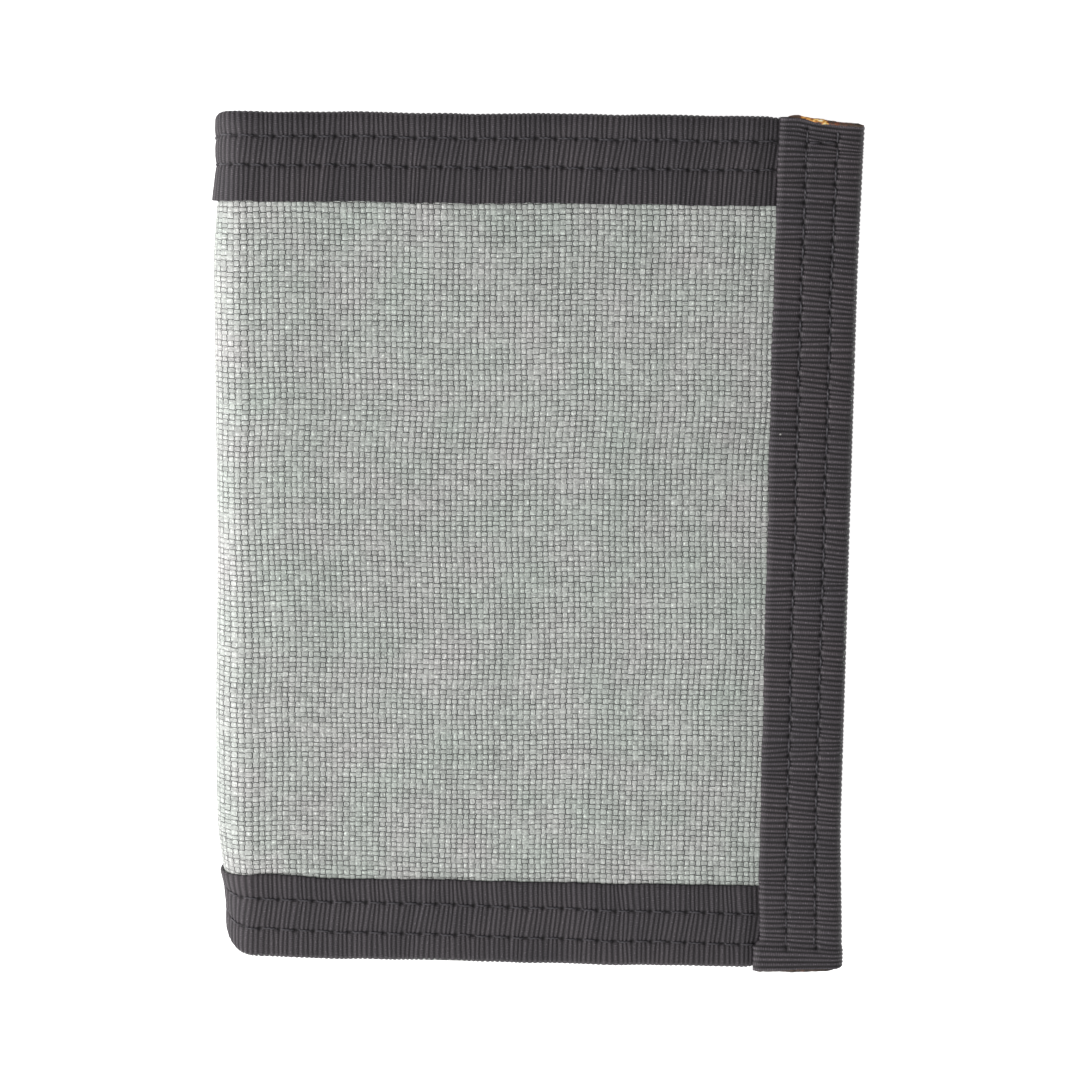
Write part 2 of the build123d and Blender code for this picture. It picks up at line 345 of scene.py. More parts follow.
    # Tone: the yarn's own shade, the crossing's, the filaments' and a slow change of shade, each
    # about its middle. The weft can be darker than the warp, and the painted shade in the gaps darkens all of
    # it.
    place = add(tree, "TexCoord", out=3)
    cloud = add(tree, "TexNoise", {"Vector": place, "Scale": 55.0, "Detail": 3.0, "Roughness": 0.55})  # 18 mm
    shades = {"yarnTone": yarnTone, "cellTone": cellTone, "streakTone": streak, "cloudTone": cloud}
    tone = 1 - sum(look[key] for key in shades) / 2
    for key, part in {**shades, "weftTone": weftOver}.items():
        tone = add(tree, "Math", [part, look[key], tone], operation="MULTIPLY_ADD")
    # Painted glints: bright specks of light painted into the colour on the crown of each yarn.
    paintedGlint = add(tree, "MapRange", [streak, 0.62, 0.95, 0.0, look["paintedGlint"]])
    tone = add(tree, "Math", [paintedGlint, crown, tone], operation="MULTIPLY_ADD")
    lit = add(tree, "Math", [1.0, gapPaintedShade], operation="SUBTRACT", use_clamp=True)
    tone = add(tree, "Math", [tone, lit], operation="MULTIPLY")
    # Painted light: the cloth is painted paler along the shoulder of the fold, ten yarns from its middle,
    # where the light from the left falls on its curve.
    patternX = add(tree, "SeparateXYZ", [pattern])
    shoulder = add(tree, "Math", [patternX, 10.0], operation="SUBTRACT")
    shoulder = add(tree, "Math", [shoulder], operation="ABSOLUTE")
    paler = 1 + look["paintedFoldLight"]
    paintedFoldLight = add(tree, "MapRange", [shoulder, 0.0, 6.0, paler, 1.0], interpolation_type="SMOOTHSTEP")
    tone = add(tree, "Math", [tone, paintedFoldLight], operation="MULTIPLY")
    tintNoise = add(tree, "TexNoise", {"Vector": place, "Scale": 120.0, "Detail": 2.0})  # patches of 8 mm
    tintNoise = add(tree, "MapRange", [tintNoise, 0.3, 0.7, 0.0, 1.0])
    ends = {6: srgb(look["cool"]), 7: srgb(look["warm"])}
    tint = add(tree, "Mix", {0: tintNoise, **ends}, out=2, data_type="RGBA")
    colour = add(tree, "VectorMath", {0: tint, 3: tone}, operation="SCALE")
    bump = add(tree, "Bump", {"Height": height, "Distance": look["bump"], "Strength": 1.0})
    plug(tree, shader, {
        "Base Color": colour, "Normal": bump, "Roughness": look["roughness"], "IOR": ior["nylon"],
        "Specular IOR Level": look["specular"], "Sheen Weight": look["sheen"], "Sheen Roughness": 0.5,
    })
    return material


def makeTape(name, look):
    # Nylon grosgrain, dyed dark: stout ribs across the tape, each covered by fine lengthwise
    # threads that go over one rib and under the next. The rib tops carry painted highlights beside the
    # shader's dull shine, the grooves and needle holes are painted nearly black as shade, and the tape picks
    # up specks of pale lint.
    # The pattern's u counts ribs, 0.7 mm apart, and its v counts the fine threads, 0.25 mm apart.
    material, tree, shader = newMaterial(name)
    pattern = add(tree, "UVMap", uv_map="pattern")
    rib, thread = add(tree, "SeparateXYZ", [pattern]).node.outputs[:2]
    ribNumber = add(tree, "Math", [rib], operation="FLOOR")
    within = add(tree, "Math", [rib], operation="FRACT")
    centred = add(tree, "Math", [within, 2.0, -1.0], operation="MULTIPLY_ADD")
    edge = add(tree, "Math", [centred], operation="ABSOLUTE")
    groove = add(tree, "MapRange", [edge, *look["groove"], 0.0, 1.0], interpolation_type="SMOOTHSTEP")
    shifted = add(tree, "Math", [ribNumber, 0.5, thread], operation="MULTIPLY_ADD")
    threadTurn = add(tree, "Math", [shifted, 2 * math.pi], operation="MULTIPLY")
    threadWave = add(tree, "Math", [threadTurn], operation="SINE")
    ribTone = add(tree, "TexWhiteNoise", {"W": ribNumber}, noise_dimensions="1D")
    fuzzPlace = add(tree, "VectorMath", [pattern, (3.0, 1.4, 1.0)], operation="MULTIPLY")
    fuzz = add(tree, "TexNoise", {"Vector": fuzzPlace, "Scale": 1.0, "Detail": 3.0, "Roughness": 0.65})
    fuzz = add(tree, "MapRange", [fuzz, 0.28, 0.72, 0.0, 1.0])
    place = add(tree, "TexCoord", out=3)
    cloud = add(tree, "TexNoise", {"Vector": place, "Scale": 90.0, "Detail": 3.0, "Roughness": 0.6})  # 11 mm
    # Tone: the rib's own shade, its fuzz and a slow change of shade, each about its middle.
    dash = add(tree, "Math", [threadWave, fuzz], operation="MULTIPLY")
    shades = {"ribTone": ribTone, "fuzzTone": fuzz, "cloudTone": cloud}
    tone = 1 - sum(look[key] for key in shades) / 2
    for key, part in {**shades, "threadTone": dash}.items():
        tone = add(tree, "Math", [part, look[key], tone], operation="MULTIPLY_ADD")
    # Painted highlights: bright specks of light painted along the crest of each rib.
    paintedSpark = add(tree, "MapRange", [fuzz, 0.66, 0.95, 0.0, look["paintedSpark"]])
    crest = add(tree, "MapRange", [edge, 0.0, 0.4, 1.0, 0.0])
    tone = add(tree, "Math", [paintedSpark, crest, tone], operation="MULTIPLY_ADD")
    # Painted shade: the grooves and the needle holes are darkened, as shade falls in them.
    hole = add(tree, "Attribute", out=2, attribute_name="shade")
    for dark, share in ((groove, look["groovePaintedShade"]), (hole, 0.95)):
        left = add(tree, "Math", [dark, -share, 1.0], operation="MULTIPLY_ADD")
        tone = add(tree, "Math", [tone, left], operation="MULTIPLY")
    ends = {6: srgb(look["cool"]), 7: srgb(look["warm"])}
    tint = add(tree, "Mix", {0: cloud, **ends}, out=2, data_type="RGBA")
    colour = add(tree, "VectorMath", {0: tint, 3: tone}, operation="SCALE")
    # Lint: short pale specks, one in a few of the cells of a 2 mm grid.
    speckPlace = add(tree, "VectorMath", [place, (500.0, 500.0, 500.0)], operation="MULTIPLY")
    speck = add(tree, "TexVoronoi", {"Vector": speckPlace, "Scale": 1.0, "Randomness": 1.0})
    speckNear = add(tree, "Math", [speck, look["lintSize"]], operation="LESS_THAN")
    speckDraw = add(tree, "SeparateColor", [speck.node.outputs["Color"]])
    speckKept = add(tree, "Math", [speckDraw, look["lintShare"]], operation="LESS_THAN")
    lint = add(tree, "Math", [speckNear, speckKept], operation="MULTIPLY")
    colour = add(tree, "Mix", {0: lint, 6: colour, 7: srgb("#a2a29e")}, out=2, data_type="RGBA")
    height = add(tree, "Math", [threadWave, 0.12], operation="MULTIPLY")
    height = add(tree, "Math", [fuzz, 0.7, height], operation="MULTIPLY_ADD")
    bump = add(tree, "Bump", {"Height": height, "Distance": look["bump"], "Strength": 1.0})
    plug(tree, shader, {
        "Base Color": colour, "Normal": bump, "Roughness": look["roughness"], "IOR": ior["nylon"],
        "Specular IOR Level": look["specular"], "Sheen Weight": look["sheen"], "Sheen Roughness": 0.4,
    })
    return material


def makeThread(name, look):
    # Bonded polyester thread: three plies twisted together under a thin resin, so it has a
    # smooth dull shine broken by slanting plies. The pattern's u goes along it, one unit for each
    # 0.9 mm of twist, and its v goes round it.
    material, tree, shader = newMaterial(name)
    pattern = add(tree, "UVMap", uv_map="pattern")
    along, roundIt = add(tree, "SeparateXYZ", [pattern]).node.outputs[:2]
    ply = add(tree, "Math", [roundIt, 3.0, along], operation="MULTIPLY_ADD")
    plyTurn = add(tree, "Math", [ply, 2 * math.pi], operation="MULTIPLY")
    plyWave = add(tree, "Math", [plyTurn], operation="SINE")
    place = add(tree, "TexCoord", out=3)
    fuzz = add(tree, "TexNoise", {"Vector": place, "Scale": 2500.0, "Detail": 2.0})  # loose fibres, 0.4 mm
    tone = add(tree, "Math", [plyWave, 0.12, 0.72], operation="MULTIPLY_ADD")
    tone = add(tree, "Math", [fuzz, 0.5, tone], operation="MULTIPLY_ADD")
    colour = add(tree, "VectorMath", {0: srgb(look["colour"])[:3], 3: tone}, operation="SCALE")
    bump = add(tree, "Bump", {"Height": plyWave, "Distance": 0.03 * mm, "Strength": 1.0})
    plug(tree, shader, {
        "Base Color": colour, "Normal": bump, "Roughness": look["roughness"], "IOR": ior["polyester"],
    })
    return material


def makeSinged(name, look):
    # Tape cut with a hot knife: the ends of the threads have run together into a glossy bead,
    # clear amber where it is thin and scorched brown where it is thick, in blots of 1 to 1.6 mm, with a
    # painted near-white highlight where it is clearest.
    material, tree, shader = newMaterial(name)
    place = add(tree, "TexCoord", out=3)
    stretched = add(tree, "VectorMath", [place, (620.0, 1100.0, 1100.0)], operation="MULTIPLY")
    burn = add(tree, "TexNoise", {"Vector": stretched, "Scale": 1.0, "Detail": 3.0, "Roughness": 0.65})
    amber = add(tree, "Attribute", out=2, attribute_name="shade")
    spreadOut = add(tree, "MapRange", [burn, 0.34, 0.68, 0.0, 1.0])
    amount = add(tree, "Math", [spreadOut, amber], operation="MULTIPLY", use_clamp=True)
    colour = add(tree, "ValToRGB", [amount])
    stops = colour.node.color_ramp.elements
    for position in look["stops"]:
        stops.new(position)
    for stop, tint in zip(stops, look["tints"]):
        stop.color = srgb(tint)
    bump = add(tree, "Bump", {"Height": burn, "Distance": 0.12 * mm, "Strength": 1.0})
    plug(tree, shader, {
        "Base Color": colour, "Normal": bump, "Roughness": look["roughness"], "IOR": ior["nylon"],
        "Subsurface Weight": 0.15, "Subsurface Radius": (0.8 * mm, 0.4 * mm, 0.1 * mm),
    })
    return material


def makeVinyl(name):
    # Clear plasticised vinyl sheet, calendered: glossy and nearly colourless, with a soft ripple of
    # 26 mm from lying against the cloth.
    material, tree, shader = newMaterial(name)
    place = add(tree, "TexCoord", out=3)
    ripple = add(tree, "TexNoise", {"Vector": place, "Scale": 38.0, "Detail": 1.0})
    bump = add(tree, "Bump", {"Height": ripple, "Distance": 0.4 * mm, "Strength": 0.5})
    plug(tree, shader, {
        "Base Color": srgb("#f3f6f5"), "Normal": bump, "Roughness": 0.06, "IOR": 1.53,
        "Transmission Weight": 0.96,
    })
    return material


clothLooks = {
    "shell": {
        "cool": "#a3aba4", "warm": "#aaaba8", "yarnTone": 0.12, "cellTone": 0.22, "streakTone": 0.75,
        "cloudTone": 0.22, "weftTone": -0.05, "gap": (0.0, 2.6), "gapWidth": 0.27, "paintedFoldLight": 0.15,
        "paintedGlint": 0.9, "filament": 0.5, "bump": 0.12 * mm, "roughness": 0.5, "specular": 0.5, "sheen": 0.05,
    },
    "lining": {
        "cool": "#787d7c", "warm": "#7f7e7b", "yarnTone": 0.08, "cellTone": 0.10, "streakTone": 0.3,
        "cloudTone": 0.15, "weftTone": 0.0, "gap": (0.25, 0.7), "gapWidth": 0.3, "paintedFoldLight": 0.0,
        "paintedGlint": 0.1, "filament": 0.3, "bump": 0.06 * mm, "roughness": 0.55, "specular": 0.45, "sheen": 0.1,
    },
}
# Painted light: the two looks are one and the same tape, painted lit in two ways. The head and foot are
# painted with even ribs, and the side is painted lighter, with brighter crests and darker grooves.
tapeLooks = {
    "long": {  # head and foot: the light comes along the ribs' sides and evens them out
        "cool": "#3e3c41", "warm": "#443f41", "ribTone": 0.3, "fuzzTone": 0.9, "cloudTone": 0.6,
        "threadTone": 0.5, "paintedSpark": 1.5, "groove": (0.1, 0.9), "groovePaintedShade": 0.64, "lintSize": 0.07,
        "lintShare": 0.03, "bump": 0.06 * mm, "roughness": 0.6, "specular": 0.25, "sheen": 0.02,
    },
    # Painted light: the same tape, painted lighter with brighter crests and darker grooves where the light
    # falls across its ribs.
    "side": {
        "cool": "#444248", "warm": "#4e4649", "ribTone": 0.3, "fuzzTone": 0.9, "cloudTone": 0.5,
        "threadTone": 0.8, "paintedSpark": 2.2, "groove": (0.08, 0.85), "groovePaintedShade": 0.82, "lintSize": 0.07,
        "lintShare": 0.03, "bump": 0.06 * mm, "roughness": 0.55, "specular": 0.35, "sheen": 0.02,
    },
}
# Painted highlight: the palest tint, at the clearest end of the ramp, stands for light shining on the bead.
singedLook = {  # from scorched to clear
    "stops": (0.2, 0.34, 0.5, 0.72), "roughness": 0.32,
    "tints": ("#262019", "#46362a", "#6c3522", "#c98c3c", "#e2c272", "#f3e8d4"),
}
shellCloth = makeCloth("coatedPackCloth", clothLooks["shell"])
liningCloth = makeCloth("liningCloth", clothLooks["lining"])
bindingTape = makeTape("grosgrainTape", tapeLooks["long"])
sideGrosgrainPaintedLight = makeTape("sideGrosgrainPaintedLight", tapeLooks["side"])
bondedThread = makeThread("bondedThread", {"colour": "#302e33", "roughness": 0.6})
singedNylon = makeSinged("singedNylon", singedLook)
clearVinyl = makeVinyl("clearVinyl")
print("materials made")

# A line across the bend, from the flat leaf towards the middle of the spine. bendRoundFold works
# out its ends but uses them for nothing.
bendLine = {"fromFold": 6.0 * mm, "across": (-3.132 * mm, 4.477 * mm)}


def bendRoundFold(piece, leaf):
    # Bakes half of a strip's place into its mesh. The ends of the bend line are worked out but not used, and
    # the piece rides on no body.
    start = np.array([foldX + bendLine["fromFold"], 0, shellMiddle])
    end = start + np.array([bendLine["across"][0], 0, bendLine["across"][1]])
    if leaf > 0:
        start[2], end[2] = closedThick - start[2], closedThick - end[2]
    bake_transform(piece)


def finishPiece(piece, material, slot, leaf, overFold, *nodes):
    # Gives a piece its material, hides the nodes it stands for and ties it to the body it moves with; a piece
    # over the fold only has its place baked in. Its slot is not used.
    piece.data.materials.append(material)
    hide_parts(*nodes)
    if overFold:
        bendRoundFold(piece, leaf)
    else:
        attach(piece, bodyOf[leaf])


def stripNodes(strip, leaf):
    # The nodes that half of a strip stands for. The front half has the spine's too.
    return [f"{strip}_{leafNames[leaf]}"] + ([f"{strip}_spine"] if leaf > 0 else [])


# Shell and divider. step is grid lines to a yarn, and the back takes one in coarse of them.
shellWeave = {
    "acrossPitch": 0.85 * mm, "upPitch": 0.73 * mm, "relief": 0.10 * mm, "step": 2, "coarse": 8,
    "cutBack": 1.7 * mm,
}
liningWeave = {
    "acrossPitch": 0.42 * mm, "upPitch": 0.40 * mm, "relief": 0.0, "step": 0.25, "coarse": 4,
    "cutBack": 0.0,
}
yarnDrift = {
    "spacing": 0.10, "bow": 0.22 * mm, "bowLength": 60 * mm, "rowBow": 0.2 * mm, "rowBowLength": 70 * mm,
}


def weaveHalf(name, leaf, weave, depth, low, high, shown):
    # Half of a strip of cloth, from the middle of the spine to the open edge. Grid lines follow the
    # yarns, which are unevenly spaced and wander a little: place = pitch x (number + wander). Each
    # crossing is a low pillow, relief x (0.7 a b + 0.15 (a + b)) with a = sin^2(pi u) and
    # b = sin^2(pi v), where the cloth shows.
    total = runAt(openX - tapeThick)
    columns = round(total / weave["acrossPitch"])
    rows = round((high - low) / weave["upPitch"])
    u = np.arange(int(columns * weave["step"]) + 1) / weave["step"]
    v = np.arange(int(rows * weave["step"]) + 1) / weave["step"]
    u, v = u / u[-1] * columns, v / v[-1] * rows
    hold = ramp(u, 0, 6) * (1 - ramp(u, columns - 6, columns))
    run = (u + wander(u, 31 + leaf, 5.0, yarnDrift["spacing"]) * hold) * total / columns
    hold = ramp(v, 0, 6) * (1 - ramp(v, rows - 6, rows))
    y = low + (v + wander(v, 41 + leaf, 5.0, yarnDrift["spacing"]) * hold) * (high - low) / rows
    gridU, gridV = np.meshgrid(u, v, indexing="ij")
    # The yarns bow slowly, held at the spine so that the two halves meet.
    held = ramp(run, 0, 8 * mm)[:, None]
    gridRun = run[:, None] + wander(y, 51 + leaf, yarnDrift["bowLength"], yarnDrift["bow"])[None, :] * held
    gridY = y[None, :] + wander(run, 61, yarnDrift["rowBowLength"], yarnDrift["rowBow"])[:, None] * held
    # Under the side tape the head is cut back, inside the tape's own sloping end.
    covered = ramp(run, runAt(sideEdge + mm), runAt(sideEdge + 4 * mm))[:, None]
    gridY = gridY - weave["cutBack"] * covered * ramp(gridY, headY - 12 * mm, headY)
    rng = np.random.default_rng(71 + leaf)
    a, b = np.sin(math.pi * gridU) ** 2, np.sin(math.pi * gridV) ** 2
    pillow = (0.7 * a * b + 0.15 * (a + b)) * rng.uniform(0.55, 1.1, gridU.shape)
    visible = ramp(gridY, shown[0] - mm, shown[0] + mm) * (1 - ramp(gridY, shown[1] - mm, shown[1] + mm))
    outer = depth[0] - weave["relief"] * pillow * visible
    # The back of the cloth takes every few of the grid lines, in reverse, at its own depth.
    back = slice(None, None, -weave["coarse"])
    grids = (gridRun, gridY, gridU, gridV)
    gridRun, gridY, gridU, gridV = (np.concatenate([grid, grid[:, back]], axis=1) for grid in grids)
    layer = np.concatenate([outer, np.full_like(outer[:, back], depth[1])], axis=1)
    return closedBand(name, layOn(leaf, gridRun, gridY, layer), np.stack([gridU, gridV], axis=-1))


dividerHigh = span("divider_back", 1)[1]
shellShown = (span("bottom_tape_back", 1)[1], span("top_tape_back", 1)[0])
strips = (
    ("shell", shellWeave, shellCloth, shellDepth, headY - tapeThick, shellShown, "divider"),
    ("divider", liningWeave, liningCloth, dividerDepth, dividerHigh, (footY, headY), "shell"),
)
for leaf, leafName in leafNames.items():
    for strip, weave, cloth, depth, high, shown, beside in strips:
        low = footY + tapeThick
        half = weaveHalf(f"{strip}{leafName.title()}", leaf, weave, depth, low, high, shown)
        slot = "shell_cloth" if strip == "shell" else "lining_cloth"
        finishPiece(half, cloth, slot, leaf, True, *stripNodes(strip, leaf))
print("shell and divider made")

# Binding tapes and their stitching. Rows are distances in from the tape's folded edge, and slant
# is how far the ribs lean in each zone between the rows.
ribs = {
    "samples": 5, "depth": 0.13 * mm, "sharpness": 1.9, "threadPitch": 0.25 * mm,
    "mostThin": 0.85,  # share of the thickness that the relief may take
    "ragged": 0.07 * mm,  # each rib ends a little short or long at the free edge
    "swayLength": 19 * mm, "edgeLength": 33 * mm,
}
seam = {
    "dip": 0.12 * mm, "dipWidth": 0.9 * mm,  # the tape is drawn in on both sides of a row
    "groove": 0.07 * mm, "grooveWidth": 0.3 * mm,  # and cut in where the thread presses
    "pull": 0.11 * mm, "pullWidth": 0.8 * mm,  # and the ribs are dragged together between its holes
    "hole": 0.26 * mm, "holeLong": 0.36 * mm, "holeWide": 0.22 * mm, "gap": 0.2 * mm,
    "threadRadius": 0.165 * mm, "threadSink": 0.17 * mm, "threadDive": 0.40 * mm, "twist": 0.9 * mm,
}
headTape = {
    "name": "top", "edge": headY, "inward": -1, "face": headY - span("top_tape_back", 1)[0],
    "core": shellDepth, "thick": tapeThick, "rows": (3.4 * mm, 7.3 * mm), "pitches": (2.70 * mm, 2.42 * mm),
    "slant": (0.0, -0.12, -0.04), "ribPitch": 0.686 * mm, "spread": -0.3 * mm,
    "proud": 0.3 * mm, "rowSlope": -0.2 * mm, "edgeFall": 0.0,
}
footTape = {
    "name": "bottom", "edge": footY, "inward": 1, "face": span("bottom_tape_back", 1)[1] - footY,
    "core": (shellDepth[0], dividerDepth[1]), "thick": tapeThick, "rows": (4.2 * mm, 8.7 * mm),
    "pitches": (2.55 * mm, 2.50 * mm), "slant": (0.02, 0.13, -0.04), "ribPitch": 0.70 * mm,
    "spread": 0.6 * mm, "proud": 0.1 * mm, "rowSlope": 1.0 * mm, "edgeFall": 0.75 * mm,
}
dividerTape = {
    "name": "divider", "edge": dividerTop, "inward": -1, "face": dividerTop - span("divider_tape_back", 1)[0],
    "core": dividerDepth, "thick": ribbonThick, "rows": (5.6 * mm,), "pitches": (2.5 * mm,),
    "slant": (0.05, 0.05), "ribPitch": 0.70 * mm,
    "spread": 0.0, "proud": 0.0, "rowSlope": 0.0, "edgeFall": 0.0,
}
sideTape = {
    "face": openX - sideEdge, "core": (shellDepth[0], dividerDepth[1]), "thick": tapeThick,
    "rows": (3.85 * mm, 8.0 * mm), "pitches": (2.50 * mm, 2.55 * mm), "slant": (-0.08, -0.06, -0.03),
    "ribPitch": 0.70 * mm, "spread": 0.0,
}


def ribGrid(low, high, pitch, seed, size, heldRibs, bothEnds=True):
    # Grid lines along a tape, a few to each rib: place = low + pitch x (number + wander), with no
    # wander at the held ends. valley is |2t - 1|^sharpness of the place t across a rib.
    count = round((high - low) / pitch)
    number = np.arange(count * ribs["samples"] + 1) / ribs["samples"]
    hold = ramp(number, 0, heldRibs)
    if bothEnds:
        hold = hold * (1 - ramp(number, count - heldRibs, count))
    even = low + (number + wander(number, seed, 7.0, size) * hold) * (high - low) / count
    valley = np.abs(2 * (number - np.floor(number)) - 1)[:, None] ** ribs["sharpness"]
    return number, even, valley


def needleHoles(start, end, pitch, seed):
    # Holes from start to end, evenly fed but for a small error at each.
    count = max(round((end - start) / pitch), 1)
    holes = np.linspace(start, end, count + 1)
    rng = np.random.default_rng(seed)
    holes[1:-1] += rng.uniform(-0.05, 0.05, count - 1) * pitch
    return holes


def rowStitches(rows, holes, sides=(0,)):
    # The two ends (along, away, side) of each stitch. The needle leaves a gap at each hole.
    found = []
    for row, places in zip(rows, holes):
        along = np.stack([places[:-1] + seam["gap"], places[1:] - seam["gap"]], axis=1)
        found += [np.stack(np.broadcast_arrays(along, row, side), axis=-1) for side in sides]
    return np.concatenate(found)


def foldedSection(tape):
    # The section of a tape folded over an edge. Its middle line runs in along the outer leg, half
    # a circle round the edge and out along the inner leg, and the face and the underside lie half
    # the thickness to each side of it. away is how far in from the edge a point is.
    half = tape["thick"] / 2
    low, high = tape["core"]
    radius = (high - low) / 2 + half
    centre = radius + half
    fine = np.array([-1.3, -0.8, -0.5, -0.3, -0.15, 0.0, 0.15, 0.3, 0.5, 0.8, 1.3]) * mm
    plain = np.array([-0.9, -0.4, -0.15, 0.0, 0.15, 0.4, 0.9]) * mm
    legs = []
    ends = (tape["face"] + tape["spread"], tape["face"])
    for steps, even, end in zip((fine, plain), (12, 6), ends):
        away = [np.linspace(centre, end, even), [end - 0.12 * mm]] + [row + steps for row in tape["rows"]]
        away = np.unique(np.concatenate(away).round(6))
        legs.append(away[(away >= centre) & (away <= end)])
    turn = np.linspace(0, math.pi, 8)[1:-1]
    outer, inner = (np.ones(len(leg)) for leg in legs)
    away = np.concatenate([legs[0][::-1], centre - radius * np.sin(turn), legs[1]])
    bend = (low + high) / 2 - radius * np.cos(turn)
    depth = np.concatenate([(low - half) * outer, bend, (high + half) * inner])
    outAway = np.concatenate([0 * outer, -np.sin(turn), 0 * inner])
    outDepth = np.concatenate([-outer, -np.cos(turn), inner])
    across = np.concatenate([[0], np.cumsum(np.hypot(np.diff(away), np.diff(depth)))])
    onOuter = depth < (low + high) / 2
    # The two free edges are rounded with one point each, and the underside needs few points.
    under = np.unique(np.linspace(len(away) - 1, 0, 12).astype(int))[::-1]
    tips = [[end + 0.3 * half] for end in ends]
    return {
        "away": np.concatenate([away, tips[1], away[under], tips[0]]),
        "depth": np.concatenate([depth, depth[-1:], depth[under], depth[:1]]),
        "outAway": np.concatenate([outAway, [0], -outAway[under], [0]]),
        "outDepth": np.concatenate([outDepth, [0], -outDepth[under], [0]]),
        "across": np.concatenate([across, across[-1:], across[under], across[:1]]),
        "face": np.concatenate([np.ones(len(away)), [0.5], np.zeros(len(under)), [0.5]]),
        "outerLeg": np.concatenate([onOuter, [False], onOuter[under], [True]]),
        "width": across[-1],
    }


def slantShift(tape, away):
    # How far a rib has leaned over at a distance from the edge, from the middle of the face: the
    # slope times the distance, with one slope for each zone between the rows of stitches.
    knots = np.concatenate([[0], tape["rows"], [tape["face"]]])
    lean = np.concatenate([[0], np.cumsum(np.diff(knots) * tape["slant"])])
    return np.interp(away, knots, lean) - np.interp(tape["face"] / 2, knots, lean)


def seamRelief(along, away, rows, holes):
    # Depth of the stitch rows below the rib tops, and the painted shade of the needle holes. Each term is a
    # bell curve of the distance to the row, or to the nearest hole on it.
    relief = np.zeros(np.broadcast(along, away).shape)
    dark = np.zeros_like(relief)
    for row, places in zip(rows, holes):
        aside = away - row
        nearest = places[np.rint(np.interp(along, places, np.arange(len(places)))).astype(int)]
        puncture = bell(along - nearest, seam["holeLong"]) * bell(aside, seam["holeWide"])
        relief += seam["dip"] * bell(aside, seam["dipWidth"])
        relief += seam["groove"] * bell(aside, seam["grooveWidth"])
        relief += seam["hole"] * puncture
        dark = np.maximum(dark, puncture)
    return relief, dark


def seamPull(along, away, rows, holes):
    # How far the stitches drag the ribs along a row: a sine of the place between two holes, dying
    # away to both sides of the row.
    pull = np.zeros(np.broadcast(along, away).shape)
    for row, places in zip(rows, holes):
        number = np.interp(along, places, np.arange(len(places)))
        pull += seam["pull"] * np.sin(2 * math.pi * number) * np.exp(-np.abs(away - row) / seam["pullWidth"])
    return pull


def faceLift(tape, face, relief, lump=0.0):
    # Distance of the skin from the tape's middle line: half the thickness less the relief on the
    # face, half the thickness on the underside and nothing at the two free edges.
    half = tape["thick"] / 2
    relief = np.minimum(relief, ribs["mostThin"] * tape["thick"])
    return np.where(face == 0.5, 0, (half - relief + lump) * face + half * (1 - face))


def tapeBand(name, leaf, run, y, layer, number, section, dark):
    # Lays a tape's grid on the leaf. Its pattern counts ribs along it and fine threads across it.
    pattern = np.broadcast_arrays(number[:, None], section["across"][None, :] / ribs["threadPitch"])
    return closedBand(name, layOn(leaf, run, y, layer), np.stack(pattern, axis=-1), dark * section["face"])


def threadPieces(name, stitches, placeThread, seed):
    # Every stitch is a short tube from hole to hole: its centre line is an arch, rise = -sink at
    # the middle and -sink - dive x (1 - sin(pi t))^3 towards the holes. stitches holds the two ends
    # of each in the tape's plane, and placeThread lays (along, away, rise) on the wallet.
    starts, ends = stitches[:, 0, :2], stitches[:, 1, :2]
    count, rings, sides = len(starts), 8, 6
    t = np.linspace(0, 1, rings)
    angle = np.arange(sides) * 2 * math.pi / sides
    rng = np.random.default_rng(seed)
    gone = (ends - starts)[:, None, None, :]
    length = np.linalg.norm(gone, axis=-1, keepdims=True)
    aside = np.concatenate([-gone[..., 1:], gone[..., :1]], axis=-1) / length
    taper = (0.35 + 0.65 * np.sin(math.pi * t) ** 0.5)[None, :, None]
    radius = seam["threadRadius"] * taper * rng.uniform(0.92, 1.08, (count, 1, 1))
    wobble = rng.normal(0, 0.05, (count, 1, 1)) * mm * np.sin(math.pi * t)[None, :, None]
    centre = starts[:, None, None, :] + gone * t[None, :, None, None]
    flat = centre + aside * (wobble + radius * np.cos(angle))[..., None]
    arch = -seam["threadSink"] - seam["threadDive"] * (1 - np.sin(math.pi * t)) ** 3
    rise = arch[None, :, None] + radius * np.sin(angle)
    points = placeThread(flat[..., 0], flat[..., 1], rise).reshape(-1, 3)
    index = np.arange(len(points)).reshape(count, rings, sides)
    after = np.roll(index, -1, axis=2)
    quads = np.stack([index[:, :-1], index[:, 1:], after[:, 1:], after[:, :-1]], axis=-1).reshape(-1, 4)
    caps = np.concatenate([index[:, 0], index[:, -1, ::-1]])
    # If the first stitch's faces look inwards, all are turned round.
    first = points[:rings * sides].reshape(rings, sides, 3)
    normal = np.cross(first[5, 2] - first[3, 2], first[4, 3] - first[4, 2])
    if normal @ (first[4, 2] - first[4].mean(0)) < 0:
        quads, caps = quads[:, ::-1], caps[:, ::-1]
    turns = np.broadcast_arrays(length[..., 0] / seam["twist"] * t[None, :, None], angle / (2 * math.pi))
    return patternedPiece(name, points, quads.tolist() + caps.tolist(), np.stack(turns, axis=-1))


def threadLevel(tape, stitches, rise):
    # Outer rows rise towards smaller depth and inner rows towards greater depth.
    side = stitches[:, 0, 2][:, None, None]
    outer, inner = tape["core"][0] - tape["thick"], tape["core"][1] + tape["thick"]
    return np.where(side == 0, outer - rise, inner + rise)


longEnds = {
    "under": 2.2 * mm, "lastHole": -0.4 * mm,  # how far past the side tape's edge the tape and its rows go
    "tuck": 0.3 * mm, "tuckFrom": (-2.4 * mm, 0.2 * mm),  # it is pressed in where the side tape begins
    "held": 7 * mm, "sway": 0.05, "edgeWander": 0.10 * mm,
    "fallReach": 4 * mm, "rebound": 0.6, "reboundAt": 8.5 * mm, "reboundReach": 6 * mm,
    "proudReach": 6 * mm,
}


